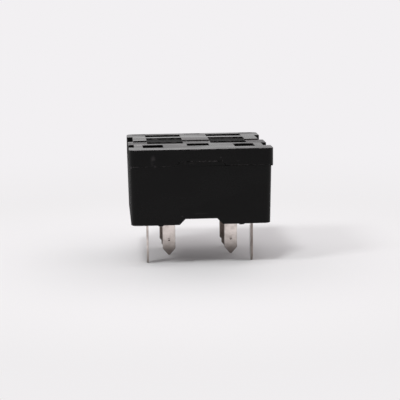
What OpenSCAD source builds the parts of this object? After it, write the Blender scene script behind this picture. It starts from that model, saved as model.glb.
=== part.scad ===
// Plug-in relay socket for a printed circuit board. Two mouldings hold six stamped
// blade contacts, and the socket stands on the tips of its legs.
// Millimetres. +X is right, +Y is towards the rear, +Z is up, and z = 0 is the leg tips.

/* [Housing] */
// Width of both mouldings at the seam
housing_w = 28.7; // [27.5:0.1:36]
// Depth of both mouldings, front to rear
housing_d = 26; // [25:0.1:34]
// Height from the stand-off rim to the front deck
body_h = 15.4; // [13:0.1:22]
// Radius of the upright corners
corner_r = 1.2; // [0.6:0.1:2]
// Draft of the base's sides, in degrees
draft = 1; // [0:0.1:2]
// Wall between hollows inside the base
inner_wall = 1.2; // [0.8:0.1:1.4]

/* [Cover] */
// Height of the cover from the seam to the front deck
cover_h = 3.4; // [2.8:0.1:5]
// Rise from the front deck to the rear deck
deck_step = 0.2; // [0.1:0.05:0.4]
// Where the rear deck starts, from the middle of the housing
deck_step_y = 0.9; // [0.6:0.1:3]
// Drop from the front deck to the ledge between the load slots
ledge_drop = 0.1; // [0.05:0.05:0.3]
// Thickness of the bar in front of each rear blade slot
divider_t = 2; // [1.2:0.1:3]
// How far the orientation rib stands out of the right side
key_rib_t = 0.35; // [0.2:0.05:0.6]
// How far the orientation rib hangs below the seam
key_rib_drop = 0.3; // [0.1:0.05:0.6]
// Width of the tongue in the seam, at its top
tongue_w = 8.4; // [5:0.1:12]
// Height of the tongue in the seam
tongue_h = 0.9; // [0.5:0.1:1.5]
// Thickness of the tongue
tongue_t = 1.4; // [1:0.1:2]

/* [Blade slots] */
// Width of a load blade slot
load_slot_w = 7.5; // [6.6:0.1:8]
// Opening of a front load slot, front to rear
front_slot_d = 3.4; // [2.6:0.1:4]
// Opening of a rear load slot, front to rear
rear_slot_d = 3.4; // [2:0.1:3.6]
// Width of a coil blade slot
coil_slot_w = 4.1; // [3.4:0.1:4.6]
// Opening of a coil blade slot, front to rear
coil_slot_d = 4.4; // [3.6:0.1:4.6]
// Width of the keying pocket between the coil slots
key_slot_w = 4.5; // [2:0.1:6]
// Opening of the keying pocket, front to rear
key_slot_d = 3.6; // [2:0.1:4]
// Depth of the keying pocket below the front deck
key_slot_deep = 9; // [4:0.1:11]
// Width of the three shallow marks at the rear, front to rear
mark_d = 0.8; // [0.5:0.1:1.2]
// Deck left behind the three marks
mark_rear_t = 0.9; // [0.7:0.1:1.2]
// Depth of the three shallow marks
mark_deep = 1; // [0.4:0.1:1.6]
// Length of the middle mark
mark_mid_w = 3.4; // [2:0.1:5]
// Length of each corner mark
mark_end_w = 2.8; // [1.5:0.1:3.2]

/* [Side notches and snap arms] */
// How deep the notches cut into each side
notch_deep = 1.15; // [1:0.05:1.3]
// Middle of the front notch, front to rear
notch_front_y = -6.2; // [-7:0.1:-5]
// Length of the front notch
notch_front_l = 4.4; // [4:0.1:5]
// Middle of the rear notch, front to rear
notch_rear_y = 4.2; // [3.8:0.1:6]
// Length of the rear notch
notch_rear_l = 6.8; // [4:0.1:7]
// Length of a snap arm along the side
arm_l = 3; // [2:0.1:3.6]
// Thickness of a snap arm
arm_t = 0.7; // [0.5:0.05:0.8]
// Height of a snap arm above the seam
arm_h = 2.2; // [1.8:0.1:2.5]
// Reach of a snap arm's barb into the cover
barb = 0.35; // [0.2:0.05:0.5]

/* [Stand-off rim] */
// Height of the rim below the floor
rim_h = 1.2; // [0.8:0.1:2]
// Thickness of the rim
rim_t = 1.4; // [1:0.1:2]
// Width of the trapezoid vent at the rim's lower edge
vent_w = 8.8; // [5:0.1:12]
// Thickness of the floor that the legs pass through
floor_t = 1.6; // [1:0.1:2.4]
// Distance from the middle to each stand-off pip
pip_x = 8.2; // [6:0.1:11]
// Width of a stand-off pip
pip_w = 1; // [0.6:0.1:1.4]
// Height of a stand-off pip
pip_h = 0.15; // [0.1:0.05:0.3]

/* [Load contacts] */
// Distance between the left and right load legs
load_pitch = 13.2; // [13:0.1:14]
// Leg plane of the front row, from the middle of the housing
front_row_y = -0.15; // [-0.5:0.05:0.1]
// Leg plane of the rear row, from the middle of the housing
rear_row_y = 7.45; // [7.2:0.05:8.4]
// Sheet thickness of a load contact
load_t = 0.5; // [0.4:0.05:0.6]
// Width of the blade that a load contact takes
load_blade_w = 6.3; // [4.8:0.1:6.4]
// Thickness of the blade that a load contact takes
load_blade_t = 0.8; // [0.5:0.05:0.9]
// Outer radius of a load contact's rolled edges
load_roll_r = 1.15; // [1:0.05:1.25]
// Width of a front load leg
front_leg_w = 2.7; // [2:0.1:3]
// Width of a rear load leg below its step
rear_leg_w = 1.8; // [1.6:0.1:2.6]
// Step on each side of a rear load leg
rear_leg_step = 0.4; // [0.1:0.05:0.5]
// How far a front load leg stands to the right of its slot's middle
front_leg_shift = 0.6; // [0:0.05:0.7]
// How far a rear load leg stands to the right of its slot's middle
rear_leg_shift = 0.25; // [0:0.05:0.7]

/* [Coil contacts] */
// Distance between the two coil legs
coil_pitch = 21.6; // [21:0.1:22]
// Middle of the coil legs, from the middle of the housing
coil_row_y = -7.15; // [-7.6:0.05:-7]
// Sheet thickness of a coil contact
coil_t = 0.4; // [0.3:0.05:0.5]
// Width of the blade that a coil contact takes
coil_blade_w = 2.8; // [2:0.1:3]
// Thickness of the blade that a coil contact takes
coil_blade_t = 0.5; // [0.4:0.05:0.8]
// Outer radius of a coil contact's rolled edges
coil_roll_r = 1; // [0.8:0.05:1.05]
// Width of a coil leg
coil_leg_w = 2.4; // [1.6:0.1:2.6]

/* [Legs] */
// Length of the legs below the stand-off rim
leg_below = 8.8; // [5:0.1:12]
// Width of the blunt end of each leg
tip_w = 0.3; // [0.2:0.05:0.6]
// Height of a tip's taper for each millimetre that it narrows on one side
tip_slope = 1.15; // [0.8:0.05:1.4]
// Height of a leg's step above the taper of its tip
step_up = 1.2; // [0.6:0.1:2]
// Height of the round dent above the tips
dent_z = 3.3; // [2.4:0.1:4.2]
// Radius of the round dent
dent_r = 0.35; // [0.2:0.05:0.5]
// Depth of the round dent
dent_deep = 0.1; // [0.05:0.05:0.15]

/* [Fits] */
// Room round each contact in its pocket
pocket_gap = 0.1; // [0.05:0.01:0.2]
// Room round each leg in the floor
leg_gap = 0.08; // [0.04:0.01:0.15]
// Room between the tongue and the cover, and at the snap barbs
seam_gap = 0.05; // [0.03:0.01:0.1]

/* [Hidden] */

PLASTIC = "#1b1b1d";
TIN = "#c8c1ba";
fine = 48;
hull_fine = 32;
// Thickness of the discs that the drafted shell is stretched between
skin = 0.01;
// Overshoot of a cut past the face it opens
cut = 1;
// Slot left open behind the back of a front load contact, and of a coil contact
load_back_room = 0.2;
coil_back_room = 0.4;
// How far a snap arm's outer face is set back from the housing's side
arm_inset = 0.1;

// Heights
rim_z = leg_below;
ceiling_z = rim_z + rim_h;
floor_z = ceiling_z + floor_t;
deck_z = rim_z + body_h;
rear_deck_z = deck_z + deck_step;
seam_z = deck_z - cover_h;
contact_h = seam_z - floor_z - pocket_gap;
ledge_z = deck_z - ledge_drop;
// Underside of a snap arm's barb, above the seam
barb_up = arm_h / 2;
// Plain stretch of a contact's back below its rolled edges
shank_h = 1.6;
// Length of the lead-in at a contact's mouth
mouth_h = 0.7;

// Plan positions
load_x = load_pitch / 2;
coil_x = coil_pitch / 2;
// Middle of a coil slot: its blade and the roll lie inboard of the leg
coil_slot_x = coil_x + coil_t / 2 + coil_back_room - coil_slot_w / 2;
// Rear edge of a front load slot and front edge of a rear load slot
front_slot_rear_y = front_row_y + load_t / 2 + load_back_room;
rear_slot_front_y = rear_row_y - load_t / 2;
notches = [[notch_front_y, notch_front_l], [notch_rear_y, notch_rear_l]];

// Contact widths over their rolled edges, with a little side play for the blade
blade_play = 0.2;
load_w = load_blade_w + blade_play + 2 * load_roll_r;
coil_w = coil_blade_w + blade_play + 2 * coil_roll_r;

// How far the drafted base draws in at the rim
draw_in = (seam_z - rim_z) * tan(draft);
// Hollows under the base stop this far below the seam
core_top_z = seam_z - inner_wall;
key_floor_z = deck_z - key_slot_deep;

// Shared shapes

// A box given by its lowest and highest corners
module span(low, high) {
    translate(low)
        cube(high - low);
}

// Both the left and the right copy of a shape
module both_sides() {
    children();
    mirror([1, 0, 0])
        children();
}

// Both the front and the rear copy of a shape
module front_and_rear() {
    children();
    mirror([0, 1, 0])
        children();
}

// Plan of the mouldings: a rectangle with round corners
module housing_plan() {
    square([housing_w - 2 * corner_r, housing_d], center = true);
    square([housing_w, housing_d - 2 * corner_r], center = true);
    for (x = [-1, 1], y = [-1, 1])
        translate([x * (housing_w / 2 - corner_r), y * (housing_d / 2 - corner_r)])
            circle(r = corner_r, $fn = fine);
}

// Trapezoid across the front, wide edge down, from z = 0 up
module trapezoid(wide, narrow, high, thick) {
    rotate([90, 0, 0])
        linear_extrude(height = thick, center = true)
            polygon([
                [-wide / 2, 0],
                [wide / 2, 0],
                [narrow / 2, high],
                [-narrow / 2, high],
            ]);
}

// Base moulding

// Outer form of the base, drawn in towards the rim by its draft
module drafted_shell() {
    hull()
        for (x = [-1, 1], y = [-1, 1]) {
            translate([x * (housing_w / 2 - corner_r), y * (housing_d / 2 - corner_r), seam_z - skin])
                cylinder(r = corner_r, h = skin, $fn = hull_fine);
            translate([
                x * (housing_w / 2 - corner_r - draw_in),
                y * (housing_d / 2 - corner_r - draw_in),
                rim_z,
            ])
                cylinder(r = corner_r, h = skin, $fn = hull_fine);
        }
}

// Raised stretch of the seam, at the front and the rear
module tongue(gap) {
    translate([0, -(housing_d - tongue_t) / 2, seam_z])
        trapezoid(
            tongue_w + 2 * tongue_h + 2 * gap,
            tongue_w + 2 * gap,
            tongue_h + gap,
            tongue_t + 2 * gap
        );
}

// Snap arm that stands in a side notch, with its barb facing inwards
module snap_arm() {
    outer_x = housing_w / 2 - arm_inset;
    inner_x = outer_x - arm_t;
    barb_x = housing_w / 2 - notch_deep - barb;
    translate([0, arm_l / 2, seam_z])
        rotate([90, 0, 0])
            linear_extrude(height = arm_l)
                polygon([
                    [inner_x, -cut],
                    [outer_x, -cut],
                    [outer_x, arm_h],
                    [inner_x, arm_h],
                    [barb_x, barb_up + barb],
                    [barb_x, barb_up],
                    [inner_x, barb_up],
                ]);
}

// Hollow that a load contact drops into, on its leg's axis
module load_pocket(facing) {
    reach = 2 * load_roll_r - load_t / 2;
    rear = load_t / 2 + pocket_gap;
    front = reach + pocket_gap;
    low_y = facing < 0 ? -front : -rear;
    high_y = facing < 0 ? rear : front;
    half = load_w / 2 + pocket_gap;
    span([-half, low_y, floor_z], [half, high_y, seam_z + cut]);
}

// Hollow that a coil contact drops into, on its leg's axis, with the rolls inboard
module coil_pocket() {
    reach = 2 * coil_roll_r - coil_t / 2;
    half = coil_w / 2 + pocket_gap;
    span(
        [-reach - pocket_gap, -half, floor_z],
        [coil_t / 2 + pocket_gap, half, seam_z + cut]
    );
}

// Slot in the floor for a leg, its width along X
module leg_slot(leg_w, sheet_t) {
    translate([0, 0, ceiling_z + floor_t / 2])
        cube([leg_w + 2 * leg_gap, sheet_t + 2 * leg_gap, floor_t + 2 * cut], center = true);
}

// Hollow under the base, parted in two along X or Y by a rib
module ribbed_core(low, high, along) {
    mid = (low + high) / 2;
    half_rib = inner_wall / 2;
    near = [for (i = [0:2]) i == along ? mid[i] - half_rib : high[i]];
    far = [for (i = [0:2]) i == along ? mid[i] + half_rib : low[i]];
    span(low, near);
    span(far, high);
}

// Hollows that open under the base, between the contact pockets
module cores() {
    load_half = load_w / 2 + pocket_gap;
    front_pocket_y = front_row_y - 2 * load_roll_r + load_t / 2 - pocket_gap;
    front_pocket_rear_y = front_row_y + load_t / 2 + pocket_gap;
    rear_pocket_y = rear_row_y - load_t / 2 - pocket_gap;
    coil_pocket_x = coil_x - 2 * coil_roll_r + coil_t / 2 - pocket_gap;
    both_sides() {
        // Between the front and rear load contacts
        ribbed_core(
            [load_x - load_half + inner_wall, front_pocket_rear_y + inner_wall, rim_z],
            [load_x + load_half - inner_wall, rear_pocket_y - inner_wall, core_top_z],
            0
        );
        // Between the keying pocket and a coil contact
        ribbed_core(
            [key_slot_w / 2 + inner_wall, -housing_d / 2 + draw_in + rim_t, rim_z],
            [coil_pocket_x - inner_wall, front_pocket_y - inner_wall, core_top_z],
            1
        );
    }
}

module base() {
    color(PLASTIC)
        difference() {
            union() {
                drafted_shell();
                front_and_rear()
                    tongue(0);
                both_sides()
                    for (notch = notches)
                        translate([0, notch[0], 0])
                            snap_arm();
                both_sides()
                    front_and_rear()
                        translate([pip_x, -housing_d / 2 + draw_in + rim_t / 2, rim_z])
                            cube([pip_w, rim_t, 2 * pip_h], center = true);
            }
            // Underside inside the rim
            translate([0, 0, rim_z - cut])
                linear_extrude(height = rim_h + cut)
                    square([
                        housing_w - 2 * (draw_in + rim_t),
                        housing_d - 2 * (draw_in + rim_t),
                    ], center = true);
            // Vent through the front and rear of the rim
            translate([0, 0, rim_z])
                trapezoid(vent_w, vent_w - 2 * rim_h, rim_h, housing_d + 2 * cut);
            cores();
            both_sides() {
                translate([load_x, front_row_y, 0])
                    load_pocket(-1);
                translate([load_x, rear_row_y, 0])
                    load_pocket(1);
                translate([coil_x, coil_row_y, 0]) {
                    coil_pocket();
                    rotate([0, 0, 90])
                        leg_slot(coil_leg_w, coil_t);
                }
            }
            for (x = [-load_x, load_x]) {
                translate([x + front_leg_shift, front_row_y, 0])
                    leg_slot(front_leg_w, load_t);
                translate([x + rear_leg_shift, rear_row_y, 0])
                    leg_slot(rear_leg_w + 2 * rear_leg_step, load_t);
            }
            key_pocket();
        }
}

// Cover moulding

// Keying pocket between the coil slots, through the cover and into the base
module key_pocket() {
    rear_y = front_row_y - 2 * load_roll_r + load_t / 2 - pocket_gap - inner_wall;
    span(
        [-key_slot_w / 2, rear_y - key_slot_d, key_floor_z],
        [key_slot_w / 2, rear_y, rear_deck_z + cut]
    );
}

// Blade slots on the right half of the cover
module blade_slots() {
    top = rear_deck_z + cut;
    low = seam_z - cut;
    half = load_slot_w / 2;
    span(
        [load_x - half, front_slot_rear_y - front_slot_d, low],
        [load_x + half, front_slot_rear_y, top]
    );
    span(
        [load_x - half, rear_slot_front_y, low],
        [load_x + half, rear_slot_front_y + rear_slot_d, top]
    );
    // Ledge between the two load slots
    span(
        [load_x - half, front_slot_rear_y - front_slot_d, ledge_z],
        [load_x + half, rear_slot_front_y - divider_t, top]
    );
    span(
        [coil_slot_x - coil_slot_w / 2, coil_row_y - coil_slot_d / 2, low],
        [coil_slot_x + coil_slot_w / 2, coil_row_y + coil_slot_d / 2, top]
    );
}

// Side notches on the right half, each with the catch that its snap arm's barb holds
module side_notches() {
    wall_x = housing_w / 2 - notch_deep;
    for (notch = notches)
        translate([0, notch[0], 0]) {
            span(
                [wall_x, -notch[1] / 2, seam_z - cut],
                [wall_x + cut + notch_deep, notch[1] / 2, rear_deck_z + cut]
            );
            span(
                [wall_x - barb - seam_gap, -arm_l / 2 - seam_gap, seam_z + barb_up - seam_gap],
                [wall_x + cut, arm_l / 2 + seam_gap, seam_z + arm_h]
            );
        }
}

// Shallow marks along the rear edge
module rear_marks() {
    y = housing_d / 2 - mark_rear_t - mark_d;
    end_x = housing_w / 2 - corner_r;
    span(
        [-mark_mid_w / 2, y, rear_deck_z - mark_deep],
        [mark_mid_w / 2, y + mark_d, rear_deck_z + cut]
    );
    both_sides()
        span(
            [end_x - mark_end_w, y, rear_deck_z - mark_deep],
            [end_x, y + mark_d, rear_deck_z + cut]
        );
}

module cover() {
    color(PLASTIC)
        difference() {
            union() {
                translate([0, 0, seam_z])
                    linear_extrude(height = cover_h)
                        housing_plan();
                // Rear deck
                intersection() {
                    translate([0, 0, seam_z])
                        linear_extrude(height = cover_h + deck_step)
                            housing_plan();
                    span(
                        [-housing_w, deck_step_y, seam_z],
                        [housing_w, housing_d, rear_deck_z]
                    );
                }
                // Orientation rib ahead of the right front notch
                intersection() {
                    translate([key_rib_t, 0, seam_z - key_rib_drop])
                        linear_extrude(height = cover_h + key_rib_drop)
                            housing_plan();
                    union() {
                        span(
                            [0, -housing_d, seam_z],
                            [housing_w, notch_front_y - notch_front_l / 2, deck_z]
                        );
                        span(
                            [housing_w / 2, -housing_d, seam_z - key_rib_drop],
                            [housing_w, notch_front_y - notch_front_l / 2, deck_z]
                        );
                    }
                }
            }
            front_and_rear()
                tongue(seam_gap);
            both_sides() {
                blade_slots();
                side_notches();
            }
            key_pocket();
            rear_marks();
        }
}

// Contacts. Each is drawn with its leg on the Z axis, its back in the XZ plane and its
// rolled edges towards -Y.

// Rolled edge: a strip of the sheet that turns from the back until it meets the blade
module roll_section(roll_r, sheet_t, blade_t) {
    turn = 270 + asin((roll_r - sheet_t - blade_t) / (roll_r - sheet_t / 2));
    difference() {
        circle(r = roll_r, $fn = fine);
        circle(r = roll_r - sheet_t, $fn = fine);
        polygon(concat(
            [[0, 0]],
            [for (step = [0:4]) let (a = 90 + step * (360 - turn) / 4) 2 * roll_r * [cos(a), sin(a)]]
        ));
    }
}

// Section of the blade socket, seen from above
module socket_section(over_w, roll_r, sheet_t, blade_t) {
    square([over_w - 2 * roll_r, sheet_t], center = true);
    for (side = [0, 1])
        mirror([side, 0])
            translate([over_w / 2 - roll_r, sheet_t / 2 - roll_r])
                roll_section(roll_r, sheet_t, blade_t);
}

// Side view of the blade socket: square at the foot of the rolls, with a lead-in at the mouth
module socket_side(roll_r, sheet_t) {
    back = sheet_t / 2;
    front = sheet_t / 2 - 2 * roll_r;
    polygon([
        [back + cut, shank_h],
        [front - cut, shank_h],
        [front - cut, contact_h - mouth_h - cut],
        [front, contact_h - mouth_h],
        [front + mouth_h, contact_h],
        [back + cut, contact_h],
    ]);
}

// Right-hand edge of a leg's flat pattern, from the floor down to the blunt tip
function leg_edge(leg_w, step) =
    let (taper_z = tip_slope * (leg_w - tip_w) / 2 - floor_z)
    concat(
        step > 0 ? [
            [leg_w / 2 + step, 0],
            [leg_w / 2 + step, taper_z + step_up],
            [leg_w / 2, taper_z + step_up - step],
        ] : [[leg_w / 2, 0]],
        [[leg_w / 2, taper_z], [tip_w / 2, -floor_z]]
    );

function flipped(points) = [for (i = [len(points) - 1:-1:0]) [-points[i][0], points[i][1]]];

// Flat pattern of the shank and leg below the rolled edges, the leg moved across by shift
module shank_pattern(over_w, roll_r, leg_w, step, shift) {
    shoulder = over_w / 2 - roll_r;
    shank = [[shoulder, shank_h + skin], [shoulder, 0]];
    leg = leg_edge(leg_w, step);
    moved_leg = [for (point = concat(leg, flipped(leg))) point + [shift, 0]];
    polygon(concat(shank, moved_leg, flipped(shank)));
}

module contact(over_w, roll_r, sheet_t, blade_t, leg_w, step, shift) {
    color(TIN)
        translate([0, 0, floor_z])
            difference() {
                union() {
                    intersection() {
                        linear_extrude(height = contact_h)
                            socket_section(over_w, roll_r, sheet_t, blade_t);
                        rotate([90, 0, 90])
                            linear_extrude(height = 2 * over_w, center = true)
                                socket_side(roll_r, sheet_t);
                    }
                    rotate([90, 0, 0])
                        linear_extrude(height = sheet_t, center = true)
                            shank_pattern(over_w, roll_r, leg_w, step, shift);
                }
                translate([shift, 0, 0])
                    dent(sheet_t);
            }
}

// Round dent from the forming tool, in the leg's front face
module dent(sheet_t) {
    ball_r = (dent_r * dent_r + dent_deep * dent_deep) / (2 * dent_deep);
    translate([0, -sheet_t / 2 - ball_r + dent_deep, dent_z - floor_z])
        sphere(r = ball_r, $fn = fine);
}

// facing is -1 with the rolled edges towards the front and 1 towards the rear
module load_contact(side, row_y, facing, leg_w, step, shift) {
    translate([side * load_x, row_y, 0])
        mirror([0, facing > 0 ? 1 : 0, 0])
            contact(load_w, load_roll_r, load_t, load_blade_t, leg_w, step, shift);
}

module coil_contact(side) {
    translate([side * coil_x, coil_row_y, 0])
        rotate([0, 0, -side * 90])
            contact(coil_w, coil_roll_r, coil_t, coil_blade_t, coil_leg_w, 0, 0);
}

base();
cover();
coil_contact(-1);  // coil_contact_left
coil_contact(1);  // coil_contact_right
load_contact(-1, front_row_y, -1, front_leg_w, 0, front_leg_shift);  // load_contact_front_left
load_contact(1, front_row_y, -1, front_leg_w, 0, front_leg_shift);  // load_contact_front_right
load_contact(-1, rear_row_y, 1, rear_leg_w, rear_leg_step, rear_leg_shift);  // load_contact_rear_left
load_contact(1, rear_row_y, 1, rear_leg_w, rear_leg_step, rear_leg_shift);  // load_contact_rear_right
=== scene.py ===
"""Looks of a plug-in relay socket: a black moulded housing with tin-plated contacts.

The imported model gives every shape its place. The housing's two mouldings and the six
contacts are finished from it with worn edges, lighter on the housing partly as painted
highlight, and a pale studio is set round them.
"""

import logging
import math
from dataclasses import dataclass
from enum import Enum

import bmesh
import bpy
from mathutils import Matrix, Vector


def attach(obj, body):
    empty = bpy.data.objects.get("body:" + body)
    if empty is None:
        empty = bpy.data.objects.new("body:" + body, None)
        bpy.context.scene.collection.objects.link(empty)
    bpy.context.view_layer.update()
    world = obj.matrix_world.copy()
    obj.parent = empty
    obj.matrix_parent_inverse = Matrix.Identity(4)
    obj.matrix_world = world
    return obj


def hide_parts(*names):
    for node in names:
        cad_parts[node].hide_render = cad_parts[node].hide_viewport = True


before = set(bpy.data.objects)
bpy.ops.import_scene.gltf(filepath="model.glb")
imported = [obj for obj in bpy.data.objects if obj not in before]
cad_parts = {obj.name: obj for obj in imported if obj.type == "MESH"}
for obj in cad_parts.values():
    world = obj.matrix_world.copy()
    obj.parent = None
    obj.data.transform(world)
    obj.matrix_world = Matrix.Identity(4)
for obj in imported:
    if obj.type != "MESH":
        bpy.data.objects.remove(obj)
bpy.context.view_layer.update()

LOG = logging.getLogger("relay_socket")
MM = 0.001
BODY = "root"
WEAR = "edge_wear"
MATT = "matt_face"


class Slot(Enum):
    """Names of the material slots."""

    PLASTIC = "housing_plastic"
    TIN = "tinned_brass"


class Turn(Enum):
    """Axis that a pattern is drawn out along, as its scale on X, Y and Z."""

    ALONG_X = (0.3, 1.0, 1.0)
    ALONG_Z = (1.0, 1.0, 0.25)


def linear(hex_colour: str) -> tuple[float, float, float, float]:
    """Turns an sRGB hex colour into linear light.

    Args:
        hex_colour: A colour such as "#1b1b1d".

    Returns:
        Linear red, green and blue, with an alpha of 1.
    """
    parts = [int(hex_colour[i : i + 2], 16) / 255 for i in (1, 3, 5)]
    lit = [p / 12.92 if p <= 0.04045 else ((p + 0.055) / 1.055) ** 2.4 for p in parts]
    return (lit[0], lit[1], lit[2], 1.0)


def add_node(
    tree: bpy.types.NodeTree, kind: str, inputs: dict | None = None, **settings: object
) -> bpy.types.Node:
    """Adds one node, with its settings and what goes into it.

    Args:
        tree: The node tree that gets the node.
        kind: The node's type name.
        inputs: What each input socket takes, a value or another node's output.
        **settings: The node's own properties.

    Returns:
        The new node.
    """
    node = tree.nodes.new(kind)
    for name, value in settings.items():
        setattr(node, name, value)
    for name, value in (inputs or {}).items():
        if isinstance(value, bpy.types.NodeSocket):
            tree.links.new(value, node.inputs[name])
        else:
            node.inputs[name].default_value = value
    return node


def new_tree(name: str) -> tuple[bpy.types.Material, bpy.types.NodeTree]:
    """Makes an empty node material.

    Args:
        name: The material's name.

    Returns:
        The material and its node tree.
    """
    material = bpy.data.materials.new(name)
    material.use_nodes = True
    material.node_tree.nodes.clear()
    return material, material.node_tree


@dataclass(frozen=True)
class ScuffAndHighlight:
    """A spot on the moulding, lighter where it is worn and where a highlight is painted.

    Attributes:
        at: Middle of the spot in millimetres.
        reach: Half its length along each axis, in millimetres.
        depth: How strongly it shows, from 0 to 1.
    """

    at: tuple[float, float, float]
    reach: tuple[float, float, float]
    depth: float


@dataclass(frozen=True)
class MouldedNylon:
    """Glass-filled black nylon, injection moulded in a spark-eroded tool.

    It gives the eye a near-black satin that turns pale grey at a grazing angle, with
    cloudy flow marks, a fine grain, a dusty film with painted sheen on level faces, and
    edges and spots that handling has worn lighter, partly as painted highlight.

    Attributes:
        name: Name of the material.
        body: Colour of the plastic.
        bloom: Colour of its slightly paler flow marks.
        rubbed_and_highlight: Colour of worn edges and scuffed spots, and of painted highlights
            on edges and spots.
        dust_and_sheen: Colour of the dusty film on level faces, which also paints sheen on them.
        dust_and_sheen_mm: Size of its patches.
        dust_and_sheen_from_mm: Where its pattern starts.
        dust_and_sheen_range: Values of the pattern that are clean and fully covered.
        level_range: How level a face is, as its normal's Z, for none of the dusty film and
            painted sheen and for all of it.
        ior: Index of refraction.
        roughness: Mean roughness of the skin.
        roughness_swing: How far the flow marks move the roughness each way.
        matt_roughness: Roughness of the faces that the tool leaves matt.
        grain_mm: Size of the tool's grain, drawn twice as coarse as it is.
        grain_deep_mm: Depth of the grain.
        grain_share: How strongly the grain shows.
        cloud_mm: Size of the flow marks.
        cloud_range: Values of the flow marks at the least and the most roughness.
        rub_mm: Size of the breaks in the worn edges.
        rub_range: Values of that pattern that are untouched and fully worn.
        scuffs_and_highlights: Scuffed spots and painted highlight spots.
        scuff_and_highlight_core: Share of a spot's reach that shows at its full depth.
    """

    name: str
    body: str = "#030303"
    bloom: str = "#0a0909"
    rubbed_and_highlight: str = "#565153"
    dust_and_sheen: str = "#514b4d"
    dust_and_sheen_mm: float = 4.5
    dust_and_sheen_from_mm: tuple[float, float, float] = (31.4, 44.5, 40.3)
    dust_and_sheen_range: tuple[float, float] = (0.25, 0.75)
    level_range: tuple[float, float] = (0.8, 0.98)
    ior: float = 1.24
    roughness: float = 0.3
    roughness_swing: float = 0.1
    matt_roughness: float = 0.75
    grain_mm: float = 0.26
    grain_deep_mm: float = 0.02
    grain_share: float = 0.35
    cloud_mm: float = 4.2
    cloud_range: tuple[float, float] = (0.35, 0.65)
    rub_mm: float = 0.9
    rub_range: tuple[float, float] = (0.42, 0.72)
    scuffs_and_highlights: tuple[ScuffAndHighlight, ...] = ()
    scuff_and_highlight_core: float = 0.2

    def make(self) -> bpy.types.Material:
        """Builds the node material.

        Returns:
            The material, named for the plastic.
        """
        material, tree = new_tree(self.name)
        place = add_node(tree, "ShaderNodeTexCoord").outputs["Object"]
        drawn = add_node(
            tree, "ShaderNodeMapping", {"Vector": place, "Scale": Turn.ALONG_X.value}
        ).outputs["Vector"]
        cloud = add_node(
            tree,
            "ShaderNodeTexNoise",
            {"Vector": drawn, "Scale": 1 / (self.cloud_mm * MM), "Detail": 4.0},
        ).outputs["Fac"]
        grain = add_node(
            tree,
            "ShaderNodeTexNoise",
            {"Vector": place, "Scale": 1 / (self.grain_mm * MM), "Detail": 2.0},
        ).outputs["Fac"]
        wear = self.wear(tree, place)
        matt = add_node(tree, "ShaderNodeAttribute", attribute_name=MATT).outputs["Fac"]
        skin = add_node(
            tree,
            "ShaderNodeMix",
            {0: cloud, 6: linear(self.body), 7: linear(self.bloom)},
            data_type="RGBA",
        ).outputs[2]
        # Dusty film on level faces, which also paints sheen there.
        skin = add_node(
            tree,
            "ShaderNodeMix",
            {0: self.dust_and_sheen_mask(tree, place, matt), 6: skin, 7: linear(self.dust_and_sheen)},
            data_type="RGBA",
        ).outputs[2]
        # Worn edges and spots, lighter partly as painted highlight.
        colour = add_node(
            tree,
            "ShaderNodeMix",
            {0: wear, 6: skin, 7: linear(self.rubbed_and_highlight)},
            data_type="RGBA",
        ).outputs[2]
        roughness = add_node(
            tree,
            "ShaderNodeMapRange",
            {
                "Value": cloud,
                "From Min": self.cloud_range[0],
                "From Max": self.cloud_range[1],
                "To Min": self.roughness - self.roughness_swing,
                "To Max": self.roughness + self.roughness_swing,
            },
        ).outputs["Result"]
        roughness = add_node(
            tree, "ShaderNodeMix", {0: matt, 2: roughness, 3: self.matt_roughness}
        ).outputs[0]
        bump = add_node(
            tree,
            "ShaderNodeBump",
            {
                "Height": grain,
                "Strength": self.grain_share,
                "Distance": self.grain_deep_mm * MM,
            },
        ).outputs["Normal"]
        shader = add_node(
            tree,
            "ShaderNodeBsdfPrincipled",
            {"Base Color": colour, "Roughness": roughness, "Normal": bump, "IOR": self.ior},
        )
        add_node(tree, "ShaderNodeOutputMaterial", {"Surface": shader.outputs["BSDF"]})
        return material

    def dust_and_sheen_mask(
        self,
        tree: bpy.types.NodeTree,
        place: bpy.types.NodeSocket,
        matt: bpy.types.NodeSocket,
    ) -> bpy.types.NodeSocket:
        """Finds where the dusty film and its painted sheen lie: in patches on level faces, away
        from the matt ledges.

        Args:
            tree: The material's node tree.
            place: Coordinates on the piece.
            matt: Where the skin is matt, from 0 to 1.

        Returns:
            A socket from 0, clean, to 1, covered.
        """
        facing = add_node(tree, "ShaderNodeTexCoord").outputs["Normal"]
        up = add_node(tree, "ShaderNodeSeparateXYZ", {"Vector": facing}).outputs["Z"]
        level = add_node(
            tree,
            "ShaderNodeMapRange",
            {
                "Value": up,
                "From Min": self.level_range[0],
                "From Max": self.level_range[1],
            },
        ).outputs["Result"]
        start = [v * MM for v in self.dust_and_sheen_from_mm]
        strewn = add_node(
            tree, "ShaderNodeMapping", {"Vector": place, "Location": start}
        ).outputs["Vector"]
        patch = add_node(
            tree,
            "ShaderNodeTexNoise",
            {"Vector": strewn, "Scale": 1 / (self.dust_and_sheen_mm * MM), "Detail": 6.0},
        ).outputs["Fac"]
        patch = add_node(
            tree,
            "ShaderNodeMapRange",
            {
                "Value": patch,
                "From Min": self.dust_and_sheen_range[0],
                "From Max": self.dust_and_sheen_range[1],
            },
        ).outputs["Result"]
        clear = add_node(
            tree, "ShaderNodeMath", {0: 1.0, 1: matt}, operation="SUBTRACT"
        ).outputs["Value"]
        share = add_node(
            tree, "ShaderNodeMath", {0: level, 1: patch}, operation="MULTIPLY"
        ).outputs["Value"]
        return add_node(
            tree, "ShaderNodeMath", {0: share, 1: clear}, operation="MULTIPLY"
        ).outputs["Value"]

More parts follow.
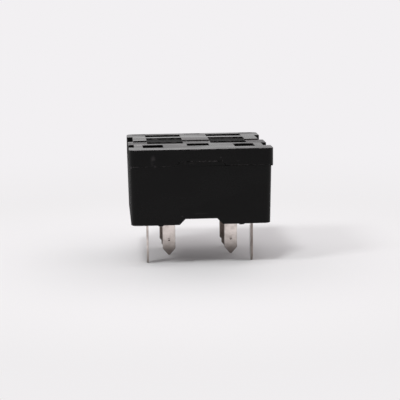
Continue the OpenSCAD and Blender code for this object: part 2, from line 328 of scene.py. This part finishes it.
    def wear(
        self, tree: bpy.types.NodeTree, place: bpy.types.NodeSocket
    ) -> bpy.types.NodeSocket:
        """Adds up the worn edges and the spots, which are partly painted highlight.

        Args:
            tree: The material's node tree.
            place: Coordinates on the piece.

        Returns:
            A socket from 0, untouched, to 1, where wear and painted highlight are strongest.
        """
        rub = add_node(
            tree,
            "ShaderNodeTexNoise",
            {"Vector": place, "Scale": 1 / (self.rub_mm * MM), "Detail": 4.0},
        ).outputs["Fac"]
        broken = add_node(
            tree,
            "ShaderNodeMapRange",
            {
                "Value": rub,
                "From Min": self.rub_range[0],
                "From Max": self.rub_range[1],
            },
        ).outputs["Result"]
        edge = add_node(tree, "ShaderNodeAttribute", attribute_name=WEAR).outputs["Fac"]
        total = add_node(
            tree, "ShaderNodeMath", {0: edge, 1: broken}, operation="MULTIPLY"
        ).outputs["Value"]
        for scuff_and_highlight in self.scuffs_and_highlights:
            local = add_node(
                tree,
                "ShaderNodeVectorMath",
                {0: place, 1: [v * MM for v in scuff_and_highlight.at]},
                operation="SUBTRACT",
            ).outputs["Vector"]
            squeezed = add_node(
                tree,
                "ShaderNodeVectorMath",
                {0: local, 1: [1 / (v * MM) for v in scuff_and_highlight.reach]},
                operation="MULTIPLY",
            ).outputs["Vector"]
            far = add_node(
                tree, "ShaderNodeVectorMath", {0: squeezed}, operation="LENGTH"
            ).outputs["Value"]
            spot = add_node(
                tree,
                "ShaderNodeMapRange",
                {
                    "Value": far,
                    "From Min": 1.0,
                    "From Max": self.scuff_and_highlight_core,
                    "To Max": scuff_and_highlight.depth,
                },
            ).outputs["Result"]
            mark = add_node(
                tree, "ShaderNodeMath", {0: spot, 1: broken}, operation="MULTIPLY"
            ).outputs["Value"]
            total = add_node(
                tree, "ShaderNodeMath", {0: total, 1: mark}, operation="MAXIMUM"
            ).outputs["Value"]
        return total


@dataclass(frozen=True)
class TinPlatedBrass:
    """Brass strip with a matt tin plating, stamped and rolled.

    It gives the eye a warm silver grey, softly mirrored, with faint drawing streaks
    along the leg, duller, darker sheared edges and painted shade that darkens the legs
    towards their tips.

    Attributes:
        name: Name of the material.
        plate: Colour of the tin.
        dull: Colour of tin that has gone dull in patches.
        sheared: Colour of the bare sheared edge, and of the painted shade at the tips.
        roughness: Roughness of the plating before its patches move it.
        roughness_swing: What the smoothest and the roughest patches add to it.
        rough_range: Values of the patches that are smoothest and roughest.
        streak_mm: Spacing of the drawing streaks.
        streak_deep_mm: Depth of the streaks.
        streak_share: How strongly the streaks show.
        patch_mm: Size of the patches.
        patch_range: Values of the patches that are bright and fully dull.
        torn_range: Values of the patches where a sheared edge is least and most bare.
        torn_least: How bare a sheared edge is where it is least bare.
        tip_shade_mm: Heights between which painted shade darkens the tin towards the tips.
        tip_shade_share: How far painted shade darkens the tin at the very tips.
    """

    name: str
    plate: str = "#e9dfda"
    dull: str = "#d9cfc9"
    sheared: str = "#6f6660"
    roughness: float = 0.2
    roughness_swing: tuple[float, float] = (-0.03, 0.05)
    rough_range: tuple[float, float] = (0.3, 0.7)
    streak_mm: float = 0.12
    streak_deep_mm: float = 0.01
    streak_share: float = 0.12
    patch_mm: float = 1.1
    patch_range: tuple[float, float] = (0.4, 0.7)
    torn_range: tuple[float, float] = (0.3, 0.6)
    torn_least: float = 0.35
    tip_shade_mm: tuple[float, float] = (4.8, 0.3)
    tip_shade_share: float = 0.72

    def make(self) -> bpy.types.Material:
        """Builds the node material.

        Returns:
            The material, named for the plated metal.
        """
        material, tree = new_tree(self.name)
        place = add_node(tree, "ShaderNodeTexCoord").outputs["Object"]
        drawn = add_node(
            tree, "ShaderNodeMapping", {"Vector": place, "Scale": Turn.ALONG_Z.value}
        ).outputs["Vector"]
        streak = add_node(
            tree,
            "ShaderNodeTexNoise",
            {"Vector": drawn, "Scale": 1 / (self.streak_mm * MM), "Detail": 2.0},
        ).outputs["Fac"]
        cloud = add_node(
            tree,
            "ShaderNodeTexNoise",
            {"Vector": place, "Scale": 1 / (self.patch_mm * MM), "Detail": 3.0},
        ).outputs["Fac"]
        patch = add_node(
            tree,
            "ShaderNodeMapRange",
            {
                "Value": cloud,
                "From Min": self.patch_range[0],
                "From Max": self.patch_range[1],
            },
        ).outputs["Result"]
        plate = add_node(
            tree,
            "ShaderNodeMix",
            {0: patch, 6: linear(self.plate), 7: linear(self.dull)},
            data_type="RGBA",
        ).outputs[2]
        height = add_node(tree, "ShaderNodeSeparateXYZ", {"Vector": place}).outputs["Z"]
        # Painted shade that darkens the legs towards their tips.
        tip_shade = add_node(
            tree,
            "ShaderNodeMapRange",
            {
                "Value": height,
                "From Min": self.tip_shade_mm[0] * MM,
                "From Max": self.tip_shade_mm[1] * MM,
                "To Max": self.tip_shade_share,
            },
        ).outputs["Result"]
        edge = add_node(tree, "ShaderNodeAttribute", attribute_name=WEAR).outputs["Fac"]
        torn = add_node(
            tree,
            "ShaderNodeMapRange",
            {
                "Value": cloud,
                "From Min": self.torn_range[0],
                "From Max": self.torn_range[1],
                "To Min": self.torn_least,
            },
        ).outputs["Result"]
        bare = add_node(
            tree, "ShaderNodeMath", {0: edge, 1: torn}, operation="MULTIPLY"
        ).outputs["Value"]
        # The maximum adds the painted shade at the tips to the bare sheared edges.
        bare = add_node(
            tree, "ShaderNodeMath", {0: bare, 1: tip_shade}, operation="MAXIMUM"
        ).outputs["Value"]
        colour = add_node(
            tree,
            "ShaderNodeMix",
            {0: bare, 6: plate, 7: linear(self.sheared)},
            data_type="RGBA",
        ).outputs[2]
        roughness = add_node(
            tree,
            "ShaderNodeMapRange",
            {
                "Value": cloud,
                "From Min": self.rough_range[0],
                "From Max": self.rough_range[1],
                "To Min": self.roughness + self.roughness_swing[0],
                "To Max": self.roughness + self.roughness_swing[1],
            },
        ).outputs["Result"]
        bump = add_node(
            tree,
            "ShaderNodeBump",
            {
                "Height": streak,
                "Strength": self.streak_share,
                "Distance": self.streak_deep_mm * MM,
            },
        ).outputs["Normal"]
        shader = add_node(
            tree,
            "ShaderNodeBsdfPrincipled",
            {
                "Base Color": colour,
                "Roughness": roughness,
                "Normal": bump,
                "Metallic": 1.0,
            },
        )
        add_node(tree, "ShaderNodeOutputMaterial", {"Surface": shader.outputs["BSDF"]})
        return material


@dataclass
class NodePiece:
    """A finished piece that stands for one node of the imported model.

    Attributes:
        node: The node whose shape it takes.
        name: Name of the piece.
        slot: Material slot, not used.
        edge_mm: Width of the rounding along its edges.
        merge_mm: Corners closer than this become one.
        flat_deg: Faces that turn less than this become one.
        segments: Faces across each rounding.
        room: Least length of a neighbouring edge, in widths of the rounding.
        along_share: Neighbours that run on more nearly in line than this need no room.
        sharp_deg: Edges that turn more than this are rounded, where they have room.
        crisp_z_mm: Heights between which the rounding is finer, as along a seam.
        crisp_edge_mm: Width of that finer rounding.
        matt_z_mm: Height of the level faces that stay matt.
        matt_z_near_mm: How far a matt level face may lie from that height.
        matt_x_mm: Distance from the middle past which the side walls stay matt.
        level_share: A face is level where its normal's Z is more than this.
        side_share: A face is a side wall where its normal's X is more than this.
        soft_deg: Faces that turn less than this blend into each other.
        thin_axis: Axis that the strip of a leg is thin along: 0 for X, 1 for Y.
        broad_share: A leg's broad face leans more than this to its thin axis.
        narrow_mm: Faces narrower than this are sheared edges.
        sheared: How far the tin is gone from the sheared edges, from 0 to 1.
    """

    node: str
    name: str
    slot: Slot
    edge_mm: float
    merge_mm: float = 0.001
    flat_deg: float = 0.4
    segments: int = 2
    room: float = 2.2
    along_share: float = 0.9
    sharp_deg: float = 28.0
    crisp_z_mm: tuple[float, float] | None = None
    crisp_edge_mm: float = 0.06
    matt_z_mm: float | None = None
    matt_z_near_mm: float = 0.02
    matt_x_mm: float | None = None
    level_share: float = 0.99
    side_share: float = 0.9
    soft_deg: float = 55.0
    thin_axis: int = 1
    broad_share: float = 0.3
    narrow_mm: float = 0.55
    sheared: float = 0.0

    def build(self) -> bpy.types.Object:
        """Builds the mesh: the node's shape, merged, with rounded edges where there is room.

        Returns:
            The piece, at the origin, with its place in its mesh.
        """
        mesh = bpy.data.meshes.new(self.name)
        bm = bmesh.new()
        bm.from_mesh(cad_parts[self.node].data)
        bmesh.ops.remove_doubles(bm, verts=bm.verts, dist=self.merge_mm * MM)
        bmesh.ops.dissolve_limit(
            bm,
            angle_limit=math.radians(self.flat_deg),
            use_dissolve_boundaries=False,
            verts=bm.verts,
            edges=bm.edges,
            delimit=set(),
        )
        wear = bm.faces.layers.float.new(WEAR)
        matt = bm.faces.layers.float.new(MATT)
        for face in bm.faces:
            face[matt] = 1.0 if self.is_matt(face) else 0.0
            face[wear] = self.sheared if self.is_narrow(face) else 0.0
        sharp = [e for e in bm.edges if e.calc_face_angle(0.0) > math.radians(self.sharp_deg)]
        crisp = [e for e in sharp if self.is_crisp(e)]
        plain = [e for e in sharp if not self.is_crisp(e)]
        self.round_off(bm, plain, self.edge_mm, wear)
        seam = [e for e in crisp if e.is_valid]
        if seam:
            self.round_off(bm, seam, self.crisp_edge_mm, wear)
        for face in bm.faces:
            face.smooth = True
        bm.to_mesh(mesh)
        bm.free()
        self.even_normals(mesh)
        piece = bpy.data.objects.new(self.name, mesh)
        bpy.context.scene.collection.objects.link(piece)
        return piece

    def is_matt(self, face: bmesh.types.BMFace) -> bool:
        """Whether the tool leaves a face matt.

        Args:
            face: A face of the merged shape.

        Returns:
            True for a level face at the matt height and for an outer side wall.
        """
        middle = face.calc_center_median()
        if self.matt_z_mm is not None and face.normal.z > self.level_share:
            return abs(middle.z - self.matt_z_mm * MM) < self.matt_z_near_mm * MM
        if self.matt_x_mm is not None and abs(face.normal.x) > self.side_share:
            return abs(middle.x) > self.matt_x_mm * MM
        return False

    def is_narrow(self, face: bmesh.types.BMFace) -> bool:
        """Whether a face is a sheared edge.

        Args:
            face: A face of the merged shape.

        Returns:
            True where it is about as narrow as the strip is thick.
        """
        if abs(face.normal[self.thin_axis]) > self.broad_share:
            return False
        longest = max(edge.calc_length() for edge in face.edges)
        return face.calc_area() < self.narrow_mm * MM * longest

    def is_crisp(self, edge: bmesh.types.BMEdge) -> bool:
        """Whether an edge gets the finer rounding.

        Args:
            edge: A sharp edge.

        Returns:
            True where it lies wholly between the crisp heights.
        """
        if self.crisp_z_mm is None:
            return False
        low, high = (v * MM for v in self.crisp_z_mm)
        return all(low <= vert.co.z <= high for vert in edge.verts)

    def round_off(
        self,
        bm: bmesh.types.BMesh,
        edges: list[bmesh.types.BMEdge],
        width_mm: float,
        wear: bmesh.types.BMLayerItem,
    ) -> None:
        """Rounds the edges that have room and marks the new faces as worn.

        Args:
            bm: The mesh.
            edges: Sharp edges.
            width_mm: Width of the rounding.
            wear: The face layer that holds the wear.
        """
        made = bmesh.ops.bevel(
            bm,
            geom=[e for e in edges if self.has_room(e, width_mm)],
            offset=width_mm * MM,
            offset_type="OFFSET",
            segments=self.segments,
            profile=0.5,
            affect="EDGES",
            clamp_overlap=False,
            material=-1,
        )
        for face in made["faces"]:
            face[wear] = 1.0

    def has_room(self, edge: bmesh.types.BMEdge, width_mm: float) -> bool:
        """Whether the edges that leave this one's ends are long enough for its rounding.

        Args:
            edge: The sharp edge.
            width_mm: Width of the rounding.

        Returns:
            False where the rounding would run past a neighbouring corner.
        """
        least = self.room * width_mm * MM
        for vert in edge.verts:
            along = (edge.other_vert(vert).co - vert.co).normalized()
            for face in edge.link_faces:
                for other in face.edges:
                    if other is edge or vert not in other.verts:
                        continue
                    away = (other.other_vert(vert).co - vert.co).normalized()
                    in_line = abs(along.dot(away)) >= self.along_share
                    if not in_line and other.calc_length() < least:
                        return False
        return True

    def even_normals(self, mesh: bpy.types.Mesh) -> None:
        """Weights corner normals by area, so that wide faces shade flat up to their edges.

        Args:
            mesh: The finished mesh.
        """
        around: dict[int, list[int]] = {}
        for face in mesh.polygons:
            for vert in face.vertices:
                around.setdefault(vert, []).append(face.index)
        normals = [face.normal.copy() for face in mesh.polygons]
        areas = [face.area for face in mesh.polygons]
        limit = math.cos(math.radians(self.soft_deg))
        corners = []
        for face in mesh.polygons:
            own = normals[face.index]
            for vert in face.vertices:
                near = [i for i in around[vert] if normals[i].dot(own) > limit]
                corners.append(sum((normals[i] * areas[i] for i in near), Vector()).normalized())
        mesh.normals_split_custom_set(corners)

    def dress(self, piece: bpy.types.Object, finish: bpy.types.Material) -> None:
        """Gives the piece its material and its place in the frame.

        Args:
            piece: The built piece.
            finish: Its material.
        """
        piece.data.materials.clear()
        piece.data.materials.append(finish)
        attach(piece, BODY)
        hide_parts(self.node)


@dataclass
class Housing:
    """The two black mouldings.

    Attributes:
        edge_mm: Width of the rounding along their edges.
        seam_z_mm: Lowest and highest point of the seam with its tongues.
        ledge_z_mm: Height of the matt ledges between the load slots.
        side_x_mm: Distance from the middle past which the side walls are matt.
        scuffs_and_highlights: Scuffed spots and painted highlight spots on the front and on the
            deck's front edge.
    """

    edge_mm: float = 0.12
    seam_z_mm: tuple[float, float] = (20.75, 21.8)
    ledge_z_mm: float = 24.1
    side_x_mm: float = 13.9
    scuffs_and_highlights: tuple[ScuffAndHighlight, ...] = (
        # Scuffed spots mixed with painted highlights, such as the spots at the collar's left
        # corner and above the bottom notch.
        ScuffAndHighlight((-9.6, -13.0, 22.0), (0.7, 0.6, 1.3), 0.3),
        ScuffAndHighlight((-9.2, -13.0, 20.9), (0.35, 0.6, 0.4), 0.3),
        ScuffAndHighlight((-14.1, -12.9, 20.7), (0.35, 0.6, 0.35), 1.0),
        ScuffAndHighlight((4.0, -13.0, 22.4), (0.22, 0.5, 0.22), 0.9),
        ScuffAndHighlight((-3.9, -12.6, 10.6), (0.2, 0.6, 0.2), 0.8),
        ScuffAndHighlight((-1.2, -12.9, 24.2), (1.2, 0.5, 0.3), 0.6),
        ScuffAndHighlight((0.2, -12.6, 11.05), (2.6, 0.6, 0.12), 0.5),
        ScuffAndHighlight((-2.5, -13.0, 21.3), (1.6, 0.5, 0.14), 0.35),
        ScuffAndHighlight((7.2, -13.0, 21.7), (0.9, 0.5, 0.12), 0.3),
    )

    def parts(self) -> list[NodePiece]:
        """Lists the mouldings.

        Returns:
            The base below the seam and the cover above it.
        """
        return [
            NodePiece(
                "base",
                "housing_base",
                Slot.PLASTIC,
                self.edge_mm,
                crisp_z_mm=self.seam_z_mm,
                matt_x_mm=self.side_x_mm,
            ),
            NodePiece(
                "cover",
                "housing_cover",
                Slot.PLASTIC,
                self.edge_mm,
                crisp_z_mm=self.seam_z_mm,
                matt_z_mm=self.ledge_z_mm,
                matt_x_mm=self.side_x_mm,
            ),
        ]

    def make(self) -> list[bpy.types.Object]:
        """Builds and dresses both mouldings.

        Returns:
            The base and the cover.
        """
        # Moulded nylon gives a near-black satin, with a dusty film and painted sheen on level
        # faces, and greyer edges that are partly painted highlight.
        finish = MouldedNylon("moulded_black_nylon", scuffs_and_highlights=self.scuffs_and_highlights).make()
        made = []
        for part in self.parts():
            piece = part.build()
            part.dress(piece, finish)
            made.append(piece)
        return made


@dataclass
class Contacts:
    """The six stamped and rolled contacts.

    Attributes:
        edge_mm: Width of the rounding along their edges.
        load_sheared: How bare the sheared edges of the load contacts are.
        coil_sheared: How bare the sheared edges of the coil contacts are.
        painted_shade: The contacts that get a darker, browner copy of the tin as painted shade.
    """

    edge_mm: float = 0.05
    load_sheared: float = 1.0
    coil_sheared: float = 0.35
    painted_shade: tuple[str, ...] = (
        "load_contact_rear_left",
        "load_contact_rear_right",
        "coil_contact_right",
    )

    def make(self) -> list[bpy.types.Object]:
        """Builds and dresses every contact.

        Returns:
            The coil contacts and the load contacts.
        """
        # Tin-plated brass gives a soft silver grey; a darker, browner copy paints shade on the
        # rear load contacts and the right coil contact.
        bright = TinPlatedBrass("tin_plated_brass").make()
        # Painted shade: a darker copy of the tin for the contacts that lie in shade.
        dull = TinPlatedBrass(
            "tin_plated_brass_painted_shade", plate="#a39993", dull="#928883"
        ).make()
        made = []
        for node in sorted(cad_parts):
            if "contact" not in node:
                continue
            coil = "coil" in node
            part = NodePiece(
                node,
                f"{node}_strip",
                Slot.TIN,
                self.edge_mm,
                thin_axis=0 if coil else 1,
                sheared=self.coil_sheared if coil else self.load_sheared,
            )
            piece = part.build()
            part.dress(piece, dull if node in self.painted_shade else bright)
            made.append(piece)
        return made


@dataclass(frozen=True)
class Softbox:
    """A square softbox.

    Attributes:
        name: The lamp's name.
        turn_deg: Its bearing from straight in front, towards +X.
        rise_deg: Its height above the floor, as an angle.
        side_m: Its side in metres.
        power: Its power in watts.
        away_m: Its distance in metres.
    """

    name: str
    turn_deg: float
    rise_deg: float
    side_m: float
    power: float
    away_m: float = 1.2


@dataclass
class Studio:
    """A pale sweep, soft light and the camera.

    Attributes:
        eye_mm: Where the camera stands.
        yaw_deg: How far it turns from straight ahead towards +X.
        pitch_deg: How far it looks down.
        roll_deg: How far it leans.
        lens_mm: Focal length of the lens.
        sensor_mm: Width of the sensor.
        clip_m: Nearest and farthest distance that the camera sees.
        backdrop: Colour of the sweep's far side.
        floor: Colour of the sweep near the object.
        front: Colour of the sweep where it fades in front of the object.
        floor_r_mm: Radius of the sweep.
        floor_sides: Sides of the sweep's rim.
        fade_mm: Where the sweep turns from lit floor to plain backdrop.
        far_mm: Where the backdrop's colour is reached.
        room_tint: Colour of the room's light.
        lamp_tint: Colour of the softboxes.
        rear_full: How far towards the rear, from 0 to 1, the rear wall is at its full strength.
        side_range: How far to a side, from 0 to 1, that side's wall starts and is full.
        room_even: Strength of the room on every side.
        room_rear: What the wall behind the object adds.
        room_left: What the wall on the left adds.
        room_right: What the wall on the right adds.
        softboxes: The lamps.
    """

    eye_mm: tuple[float, float, float] = (-18.5, -247.7, 54.9)
    yaw_deg: float = 4.44
    pitch_deg: float = 9.88
    roll_deg: float = -0.59
    lens_mm: float = 106.9
    sensor_mm: float = 36.0
    clip_m: tuple[float, float] = (0.01, 50.0)
    backdrop: str = "#f2f0f2"
    floor: str = "#efeeef"
    front: str = "#eeeced"
    floor_r_mm: float = 6000.0
    floor_sides: int = 96
    fade_mm: tuple[float, float] = (32.0, 85.0)
    far_mm: tuple[float, float] = (35.0, 170.0)
    room_tint: str = "#fffbfc"
    lamp_tint: str = "#fdffff"
    rear_full: float = 0.9
    side_range: tuple[float, float] = (0.1, 0.9)
    room_even: float = 0.08
    room_rear: float = 1.0
    room_left: float = 0.55
    room_right: float = 0.95
    softboxes: tuple[Softbox, ...] = (
        Softbox("softbox_left", -61.0, 40.0, 0.25, 2.9),
        Softbox("softbox_front", -26.0, 56.0, 0.2, 3.9),
        Softbox("softbox_top", 0.0, 80.0, 0.5, 1.6),
    )

    def set_camera(self) -> None:
        """Adds the camera and makes it the scene's own."""
        yaw, pitch, roll = (
            math.radians(v) for v in (self.yaw_deg, self.pitch_deg, self.roll_deg)
        )
        ahead = Vector(
            (
                math.sin(yaw) * math.cos(pitch),
                math.cos(yaw) * math.cos(pitch),
                -math.sin(pitch),
            )
        )
        level = Vector((math.cos(yaw), -math.sin(yaw), 0.0))
        upright = level.cross(ahead)
        right = level * math.cos(roll) + upright * math.sin(roll)
        up = upright * math.cos(roll) - level * math.sin(roll)
        lens = bpy.data.cameras.new("camera")
        lens.lens = self.lens_mm
        lens.sensor_width = self.sensor_mm
        lens.clip_start, lens.clip_end = self.clip_m
        camera = bpy.data.objects.new("camera", lens)
        turn = Matrix((right, up, -ahead)).transposed().to_4x4()
        camera.matrix_world = Matrix.Translation(Vector(self.eye_mm) * MM) @ turn
        bpy.context.scene.collection.objects.link(camera)
        bpy.context.scene.camera = camera

    def lay_sweep(self) -> None:
        """Adds the floor, a wide disc that fades into the backdrop."""
        mesh = bpy.data.meshes.new("sweep")
        bm = bmesh.new()
        bmesh.ops.create_circle(
            bm,
            cap_ends=True,
            cap_tris=False,
            segments=self.floor_sides,
            radius=self.floor_r_mm * MM,
        )
        bm.to_mesh(mesh)
        bm.free()
        sweep = bpy.data.objects.new("sweep", mesh)
        bpy.context.scene.collection.objects.link(sweep)
        mesh.materials.append(self.paper())

    def paper(self) -> bpy.types.Material:
        """Makes matt white background paper, lit near the object and even farther out.

        Returns:
            The paper's material.
        """
        material, tree = new_tree("background_paper")
        place = add_node(tree, "ShaderNodeTexCoord").outputs["Object"]
        far = add_node(
            tree, "ShaderNodeVectorMath", {0: place}, operation="LENGTH"
        ).outputs["Value"]
        fade = add_node(
            tree,
            "ShaderNodeMapRange",
            {
                "Value": far,
                "From Min": self.fade_mm[0] * MM,
                "From Max": self.fade_mm[1] * MM,
            },
            interpolation_type="SMOOTHSTEP",
        ).outputs["Result"]
        path = add_node(tree, "ShaderNodeLightPath")
        seen = add_node(
            tree,
            "ShaderNodeMath",
            {0: path.outputs["Is Camera Ray"], 1: path.outputs["Is Glossy Ray"]},
            operation="MAXIMUM",
        ).outputs["Value"]
        seen = add_node(
            tree,
            "ShaderNodeMath",
            {0: seen, 1: path.outputs["Is Transmission Ray"]},
            operation="MAXIMUM",
        ).outputs["Value"]
        share = add_node(
            tree, "ShaderNodeMath", {0: fade, 1: seen}, operation="MULTIPLY"
        ).outputs["Value"]
        matt = add_node(
            tree, "ShaderNodeBsdfDiffuse", {"Color": linear(self.floor), "Roughness": 0.0}
        )
        haze = add_node(
            tree,
            "ShaderNodeMapRange",
            {
                "Value": far,
                "From Min": self.far_mm[0] * MM,
                "From Max": self.far_mm[1] * MM,
            },
            interpolation_type="SMOOTHSTEP",
        ).outputs["Result"]
        tone = add_node(
            tree,
            "ShaderNodeMix",
            {0: haze, 6: linear(self.front), 7: linear(self.backdrop)},
            data_type="RGBA",
        ).outputs[2]
        plain = add_node(tree, "ShaderNodeEmission", {"Color": tone, "Strength": 1.0})
        mixed = add_node(
            tree,
            "ShaderNodeMixShader",
            {0: share, 1: matt.outputs["BSDF"], 2: plain.outputs["Emission"]},
        )
        add_node(tree, "ShaderNodeOutputMaterial", {"Surface": mixed.outputs["Shader"]})
        return material

    def set_light(self) -> None:
        """Lights the sweep and the socket from a pale room and the softboxes."""
        world = bpy.data.worlds.new("room")
        bpy.context.scene.world = world
        world.use_nodes = True
        tree = world.node_tree
        tree.nodes.clear()
        path = add_node(tree, "ShaderNodeLightPath")
        towards = add_node(tree, "ShaderNodeTexCoord").outputs["Generated"]
        axes = add_node(tree, "ShaderNodeSeparateXYZ", {"Vector": towards})
        rear = add_node(
            tree,
            "ShaderNodeMapRange",
            {"Value": axes.outputs["Y"], "From Max": self.rear_full},
            interpolation_type="SMOOTHSTEP",
        ).outputs["Result"]
        mirrored = add_node(
            tree,
            "ShaderNodeMath",
            {0: path.outputs["Is Glossy Ray"], 1: rear},
            operation="MULTIPLY",
        ).outputs["Value"]
        seen = add_node(
            tree,
            "ShaderNodeMath",
            {0: path.outputs["Is Camera Ray"], 1: path.outputs["Is Transmission Ray"]},
            operation="MAXIMUM",
        ).outputs["Value"]
        seen = add_node(
            tree, "ShaderNodeMath", {0: seen, 1: mirrored}, operation="MAXIMUM"
        ).outputs["Value"]
        strength = add_node(
            tree,
            "ShaderNodeMath",
            {0: rear, 1: self.room_rear, 2: self.room_even},
            operation="MULTIPLY_ADD",
        ).outputs["Value"]
        for side, wall in ((-1, self.room_left), (1, self.room_right)):
            glow = add_node(
                tree,
                "ShaderNodeMapRange",
                {
                    "Value": axes.outputs["X"],
                    "From Min": side * self.side_range[0],
                    "From Max": side * self.side_range[1],
                    "To Max": wall,
                },
                interpolation_type="SMOOTHSTEP",
            ).outputs["Result"]
            strength = add_node(
                tree, "ShaderNodeMath", {0: strength, 1: glow}, operation="ADD"
            ).outputs["Value"]
        room = add_node(
            tree,
            "ShaderNodeBackground",
            {"Color": linear(self.room_tint), "Strength": strength},
        )
        tone = add_node(
            tree,
            "ShaderNodeMix",
            {0: mirrored, 6: linear(self.backdrop), 7: linear("#ffffff")},
            data_type="RGBA",
        ).outputs[2]
        behind = add_node(
            tree, "ShaderNodeBackground", {"Color": tone, "Strength": 1.0}
        )
        both = add_node(
            tree,
            "ShaderNodeMixShader",
            {0: seen, 1: room.outputs["Background"], 2: behind.outputs["Background"]},
        )
        add_node(tree, "ShaderNodeOutputWorld", {"Surface": both.outputs["Shader"]})
        for box in self.softboxes:
            self.add_softbox(box)

    def add_softbox(self, box: Softbox) -> None:
        """Adds a square softbox that faces the socket.

        Args:
            box: Where it stands, its size and its power.
        """
        data = bpy.data.lights.new(box.name, "AREA")
        data.shape = "SQUARE"
        data.size = box.side_m
        data.energy = box.power
        data.color = linear(self.lamp_tint)[:3]
        lamp = bpy.data.objects.new(box.name, data)
        turn, rise = math.radians(box.turn_deg), math.radians(box.rise_deg)
        direction = Vector(
            (
                math.sin(turn) * math.cos(rise),
                -math.cos(turn) * math.cos(rise),
                math.sin(rise),
            )
        )
        lamp.location = direction * box.away_m
        lamp.rotation_euler = direction.to_track_quat("Z", "Y").to_euler()
        bpy.context.scene.collection.objects.link(lamp)


def main() -> None:
    """Builds the socket and its studio."""
    logging.basicConfig(level=logging.INFO, format="%(name)s: %(message)s")
    bpy.context.scene.view_settings.view_transform = "Standard"
    studio = Studio()
    studio.set_camera()
    studio.lay_sweep()
    studio.set_light()
    for piece in Housing().make() + Contacts().make():
        LOG.info("%s: %d faces", piece.name, len(piece.data.polygons))


if __name__ == "__main__":
    main()
